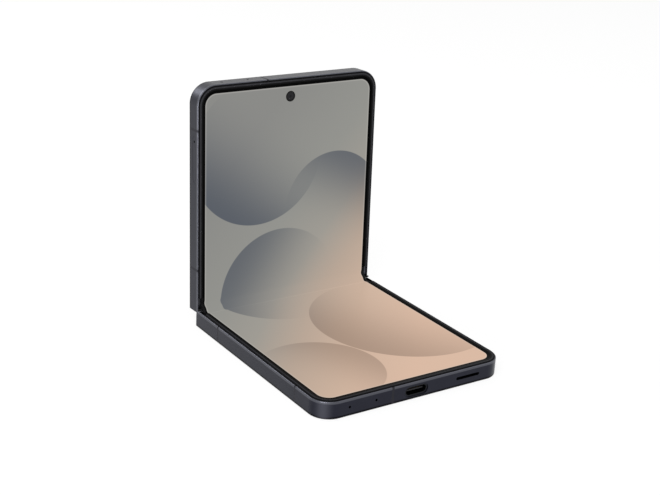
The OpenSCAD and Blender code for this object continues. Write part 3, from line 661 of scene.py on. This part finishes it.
board, copper, pouch = board_green(), copper_wound(), foil()
led_glow = moulded("led_phosphor", srgb(226, 210, 150), srgb(238, 226, 180), 0.35, 0.5, 9.0,
                   0.00002)
by_slot = {
    "black_plastic": black, "board": board, "break_polymer": break_plastic, "cell_pouch": pouch,
    "copper": copper, "display_stack": black, "gear_metal": steel_fine, "led_plastic": led_glow,
    "lens_glass": rear["upper"], "lens_metal": steel_fine, "magnet": steel_fine,
    "seal_rubber": rubber, "stainless": steel_x,
}
own = {
    "lower_frame": frame_metal["lower"], "upper_frame": frame_metal["upper"],
    "hinge_housing": frame_metal["spine"], "volume_key": frame_metal["upper"],
    "side_key": frame_metal["upper"], "sim_tray": frame_metal["upper"],
    "lower_bezel": bezel_satin("lower"), "upper_bezel": bezel_satin("upper"),
    # the port's steel shell is coloured dark: painted shade in the recess of the port
    "usb_c_shell": steel("shell_nickel_painted_shade", srgb(44, 45, 49), srgb(28, 29, 32), 0.34, "y"),
    "lower_rear_glass": rear["lower"], "cover_glass": rear["upper"],
}
slots = {p["node"]: p["material_slot"] for p in frame["record"]["subparts"]}
for name, obj in nodes.items():
    material = own.get(name) or by_slot.get(slots[name], black)
    obj.data.materials.clear()
    obj.data.materials.append(material)


# ------------------------------------------------------------------ rear and cover glass

profile = [(GLASS_INSET + 0.13, 0.0), (GLASS_INSET + 0.05, 0.03), (GLASS_INSET + 0.01, 0.1),
           (GLASS_INSET, 0.2), (GLASS_INSET, GLASS_TOP)]
glass = plate("rear_glass_lower", "lower", profile, GLASS_START, rear["lower"])
ride(glass, "lower", "rear_glass", "lower_rear_glass")
holes = [(x, CAMERA_S, RING_R + 0.04, 0.04) for x in CAMERA_XS]
holes.append((FLASH_X, CAMERA_S, FLASH_R + 0.05, 0.04))
glass = plate("cover_glass_upper", "upper", profile, GLASS_START, rear["upper"], holes)
ride(glass, "upper", "cover_glass", "cover_glass")


# ------------------------------------------------------------------ cameras and flash


def lathe(name, half, cx, cs, profile, material, steps):
    """A turned piece on an axis square to its half; profile lists (radius, z) from its first to
    its last point on the axis."""
    place = PLACE[half]
    verts = [place(cx, cs, profile[0][1])]
    for r, z in profile[1:-1]:
        verts += [place(x, s, z) for x, s in circle(cx, cs, r, steps)]
    verts.append(place(cx, cs, profile[-1][1]))
    rings = [circle(cx, cs, 1, steps)] * (len(profile) - 2)
    faces = [tuple(1 + i for i in f) for f in loft(rings)]
    last = len(verts) - 1
    for i in range(steps):
        j = (i + 1) % steps
        faces.append((0, 1 + i, 1 + j))
        faces.append((last, last - steps + i, last - steps + j))
    return make(name, verts, faces, material, sharp=20.0)


def ringed(name, half, cx, cs, stops, blend, rough, specular=0.5):
    """A round optical part whose colour changes with the distance from its axis."""
    m = Shader(name, stops[0][1], rough, specular=specular)
    vector, x, s, _ = m.local(half)
    away = m.length(m.math("SUBTRACT", x, cx), m.math("SUBTRACT", s, cs))
    dust = m.noise(vector, 3.0, 4.0, 0.7)
    dusty, clean = m.spread(dust, 0.0, 0.12), m.bands(away, stops, blend)
    m.set("Base Color", m.mix(dusty, clean, srgb(30, 30, 34)))
    m.set("Roughness", m.spread(dust, rough, rough + 0.04))
    m.bump(dust, 0.0000004)
    return m.mat


def dome(radius, low, high, steps=8):
    """Profile points of a shallow dome, from near its centre at high to its edge at low."""
    angles = [math.pi / 2 * i / steps for i in range(1, steps + 1)]
    return [(radius * math.sin(a), low + (high - low) * math.cos(a)) for a in angles]


# Colours of the round optical parts: distance from the axis in mm, colour
LENS_STOPS = ((0.0, srgb(12, 14, 34)), (0.75, srgb(30, 22, 52)), (1.25, srgb(10, 12, 16)),
              (2.1, srgb(30, 31, 35)), (2.45, srgb(7, 7, 9)), (3.35, srgb(24, 25, 28)),
              (3.6, srgb(5, 5, 6)))
FLASH_STOPS = ((0.0, srgb(236, 214, 132)), (0.8, srgb(240, 230, 190)), (1.3, srgb(214, 212, 204)))
PUNCH_STOPS = ((0.0, srgb(8, 8, 12)), (0.5, srgb(24, 24, 26)), (1.35, srgb(20, 20, 22)),
               (1.5, srgb(1, 1, 1)))
out = -RING_OUT
for tag, cx in (("wide", CAMERA_XS[0]), ("ultra_wide", CAMERA_XS[1])):
    profile = [(0.0, 0.6), (RING_R - 1.52, 0.6), (RING_R - 1.52, 0.28), (4.5, 0.24), (3.6, 0.24),
               (3.5, 0.3), (3.3, 0.34), (3.2, 0.42), (2.4, 0.5), (2.3, 0.56)]
    profile += list(reversed(dome(2.1, 0.56, 0.34))) + [(0.0, 0.34)]
    profile = [(r, out + z) for r, z in profile]
    coated = ringed("lens_coated_" + tag, "upper", cx, CAMERA_S, LENS_STOPS, 0.12, 0.04)
    lens = lathe("rear_lens_" + tag, "upper", cx, CAMERA_S, profile, coated, 72)
    ride(lens, "upper", "lens_glass", "camera_lens_glass")

frosted = ringed("flash_lens", "upper", FLASH_X, CAMERA_S, FLASH_STOPS, 0.3, 0.25)
grooves = [(0.15 + 0.12 * i, 0.12 + 0.05 * (i % 2)) for i in range(11)]
profile = [(0.0, 0.12)] + grooves
profile += [(FLASH_R - 0.08, 0.06), (FLASH_R, 0.1), (FLASH_R, 1.2), (0.0, 1.2)]
flash = lathe("flash_window", "upper", FLASH_X, CAMERA_S, profile, frosted, 56)
ride(flash, "upper", "led_plastic", "flash_led")

window = ringed("front_lens", "upper", 0.0, PUNCH_S, PUNCH_STOPS, 0.15, 0.2, 0.15)
top = DISPLAY_TOP - 0.03
profile = [(0.0, 2.2), (2.9, 2.2), (3.0, 2.3), (3.0, DISPLAY_LOW - 0.15)]
profile += [(PUNCH_R, DISPLAY_LOW - 0.1), (PUNCH_R, top - 0.06), (PUNCH_R - 0.06, top)]
profile += [(1.45, top), (1.4, top - 0.12)]
profile += list(reversed(dome(1.2, top - 0.12, top - 0.04))) + [(0.0, top - 0.04)]
lens = lathe("front_camera_lens", "upper", 0.0, PUNCH_S, profile, window, 56)
ride(lens, "upper", "lens_glass", "front_camera")


# ------------------------------------------------------------------ port and meshes


def boxes(name, half, cells, material, bevel=0.0):
    """Small blocks in one piece; each cell is ((x0, x1), (s0, s1), (z0, z1)), and all is in mm."""
    place = PLACE[half]
    corners = [(i, j, k) for i in (0, 1) for j in (0, 1) for k in (0, 1)]
    sides = [(0, 1, 3, 2), (4, 6, 7, 5), (0, 4, 5, 1), (2, 3, 7, 6), (0, 2, 6, 4), (1, 5, 7, 3)]
    verts, faces = [], []
    for x, s, z in cells:
        base = len(verts)
        verts += [place(x[i], s[j], z[k]) for i, j, k in corners]
        faces += [tuple(base + i for i in side) for side in sides]
    obj = make(name, verts, faces, material)
    if bevel:
        edge = obj.modifiers.new("edges", "BEVEL")
        edge.width, edge.segments = bevel * MM, 2
    return obj


gold = steel("contact_gold", srgb(212, 176, 98), srgb(176, 138, 70), 0.22, "y")
TONGUE = ((-3.35, 3.35), (HALF_LEN - 7.2, HALF_LEN - 1.1), (PORT_Z - 0.3, PORT_Z + 0.3))
PAD_COUNT, PAD_PITCH, PAD_HALF = 12, 0.5, 0.12
core = boxes("usb_tongue", "lower", [TONGUE], black, 0.12)
ride(core, "lower", "black_plastic", "usb_c_tongue")
pads = []
for i in range(PAD_COUNT):
    x = -2.75 + PAD_PITCH * i
    for z in ((PORT_Z - 0.34, PORT_Z - 0.28), (PORT_Z + 0.28, PORT_Z + 0.34)):
        pads.append(((x - PAD_HALF, x + PAD_HALF), (HALF_LEN - 5.0, HALF_LEN - 1.5), z))
ride(boxes("usb_contacts", "lower", pads, gold), "lower", "copper")


mesh_wire = moulded("mesh_wire_black", srgb(6, 6, 7), srgb(13, 13, 15), 0.5, 0.2, 30.0)
BACKING = 0.05


def wires(limits, pitch, wire):
    """Where the wires lie across one direction, as (low, high) in mm."""
    middles = [limits[0] + pitch * (i + 0.5) for i in range(int((limits[1] - limits[0]) / pitch))]
    return [(at - wire / 2, at + wire / 2) for at in middles]


def woven(name, half, node, x, s, z, pitch, wire, face):
    """Fine wire cloth in front of a dark plate; face is the direction that it looks, s or z."""
    cells = [(band, s, z) for band in wires(x, pitch, wire)]
    if face == "s":
        cells += [(x, s, band) for band in wires(z, pitch, wire)]
        cells.append((x, (s[0], s[0] + BACKING), z))
    else:
        cells += [(x, band, z) for band in wires(s, pitch, wire)]
        cells.append((x, s, (z[0], z[0] + BACKING)))
    ride(boxes(name, half, cells, mesh_wire), half, "black_plastic", node)


woven("speaker_cloth", "lower", "loudspeaker_mesh", (SPEAKER_X - 5.6, SPEAKER_X + 5.6),
      (HALF_LEN - 1.9, HALF_LEN - 1.62), (HOLE_Z - 0.9, HOLE_Z + 0.9), 0.36, 0.14, "s")
woven("earpiece_cloth", "upper", "earpiece_mesh", (-11.55, 11.55),
      (HALF_LEN - 0.87, HALF_LEN - 0.37), (HALF_T - 0.8, HALF_T - 0.32), 0.25, 0.1, "z")


# ------------------------------------------------------------------ stage, light and camera


# The floor's half size in metres, its albedo in the object's light, and what the camera sees of
# it: an albedo that keeps the shadow, over a constant glow
FLOOR, FLOOR_ALBEDO, FLOOR_SEEN, FLOOR_GLOW = 3.0, 0.8, 0.22, 0.82
WORLD_LIGHT, WORLD_SEEN = 0.5, 1.0


def stage_floor():
    """A pale floor that the camera sees as nearly white, with the object's shadow on it."""
    mesh = bpy.data.meshes.new("floor")
    corners = [(x * FLOOR, y * FLOOR, 0) for x, y in ((-1, -1), (1, -1), (1, 1), (-1, 1))]
    mesh.from_pydata(corners, [], [(0, 1, 2, 3)])
    obj = bpy.data.objects.new("floor", mesh)
    bpy.context.scene.collection.objects.link(obj)
    mat = bpy.data.materials.new("floor_white")
    mat.use_nodes = True
    tree = mat.node_tree
    tree.nodes.clear()
    out = tree.nodes.new("ShaderNodeOutputMaterial")
    plain = tree.nodes.new("ShaderNodeBsdfDiffuse")
    plain.inputs[0].default_value = (FLOOR_ALBEDO,) * 3 + (1,)
    soft = tree.nodes.new("ShaderNodeBsdfDiffuse")
    soft.inputs[0].default_value = (FLOOR_SEEN,) * 3 + (1,)
    glow = tree.nodes.new("ShaderNodeEmission")
    glow.inputs[1].default_value = FLOOR_GLOW
    add = tree.nodes.new("ShaderNodeAddShader")
    tree.links.new(soft.outputs[0], add.inputs[0])
    tree.links.new(glow.outputs[0], add.inputs[1])
    mix = tree.nodes.new("ShaderNodeMixShader")
    tree.links.new(seen(tree), mix.inputs[0])
    tree.links.new(plain.outputs[0], mix.inputs[1])
    tree.links.new(add.outputs[0], mix.inputs[2])
    tree.links.new(mix.outputs[0], out.inputs[0])
    mesh.materials.append(mat)


def seen(tree):
    """1 for the rays that show the background: from the camera, in gloss and through glass."""
    path = tree.nodes.new("ShaderNodeLightPath")
    total = path.outputs["Is Camera Ray"]
    for key in ("Is Glossy Ray", "Is Transmission Ray"):
        add = tree.nodes.new("ShaderNodeMath")
        add.operation, add.use_clamp = "ADD", True
        tree.links.new(total, add.inputs[0])
        tree.links.new(path.outputs[key], add.inputs[1])
        total = add.outputs[0]
    return total


def studio_world():
    """An even dome of light, seen as white."""
    world = bpy.data.worlds.new("studio")
    world.use_nodes = True
    bpy.context.scene.world = world
    tree = world.node_tree
    tree.nodes.clear()
    out = tree.nodes.new("ShaderNodeOutputWorld")
    plain, white = (tree.nodes.new("ShaderNodeBackground") for _ in range(2))
    plain.inputs[1].default_value = WORLD_LIGHT
    white.inputs[1].default_value = WORLD_SEEN
    mix = tree.nodes.new("ShaderNodeMixShader")
    tree.links.new(seen(tree), mix.inputs[0])
    tree.links.new(plain.outputs[0], mix.inputs[1])
    tree.links.new(white.outputs[0], mix.inputs[2])
    tree.links.new(mix.outputs[0], out.inputs[0])
    plain.inputs[0].default_value = white.inputs[0].default_value = (1, 1, 1, 1)


def softbox(name, location, target, size, power):
    """A rectangular lamp: places and sizes in metres, power in watts."""
    light = bpy.data.lights.new(name, "AREA")
    light.shape, light.size, light.size_y = "RECTANGLE", size[0], size[1]
    light.energy = power
    obj = bpy.data.objects.new(name, light)
    bpy.context.scene.collection.objects.link(obj)
    obj.location = location
    obj.rotation_euler = (Vector(target) - Vector(location)).to_track_quat("-Z", "Y").to_euler()


# The photograph's camera: azimuth, elevation and roll in degrees, place in metres, and the
# distance to the image in pixels of a picture 660 wide
VIEW_ANGLES = (-34.5219, 20.6010, 3.2882)
VIEW_FROM = (-0.241729, -0.338167, 0.194815)
VIEW_DISTANCE, VIEW_WIDTH, SENSOR = 1289.37, 660.0, 36.0


def photo_camera():
    """A camera that looks at the object from the photograph's place."""
    azimuth, elevation, roll = (math.radians(v) for v in VIEW_ANGLES)
    level = math.cos(elevation)
    back = Vector((math.sin(azimuth) * level, -math.cos(azimuth) * level, math.sin(elevation)))
    right = (-back).cross(Vector((0, 0, 1))).normalized()
    up = back.cross(right)
    across = math.cos(roll) * right + math.sin(roll) * up
    upright = math.cos(roll) * up - math.sin(roll) * right
    turned_to = Matrix((across, upright, back)).transposed()
    data = bpy.data.cameras.new("photo_camera")
    data.sensor_width = SENSOR
    data.lens = VIEW_DISTANCE * SENSOR / VIEW_WIDTH
    data.clip_start, data.clip_end = 0.01, 20.0
    obj = bpy.data.objects.new("photo_camera", data)
    bpy.context.scene.collection.objects.link(obj)
    obj.matrix_world = Matrix.Translation(VIEW_FROM) @ turned_to.to_4x4()
    bpy.context.scene.camera = obj


stage_floor()
studio_world()
softbox("key_light", (-0.55, -0.5, 0.8), (0, 0, 0.04), (0.6, 0.6), 5.0)
softbox("fill_light", (0.8, -0.4, 0.6), (0, 0, 0.04), (0.8, 0.8), 2.0)
softbox("back_light", (-0.45, 0.8, 0.6), (0, 0, 0.04), (0.5, 0.4), 3.0)
softbox("corner_light", (-0.36, -0.27, 0.03), (-0.03, -0.03, 0.0), (0.14, 0.06), 1.2)
photo_camera()
bpy.context.scene.view_settings.view_transform = "Standard"

bpy.context.view_layer.update()
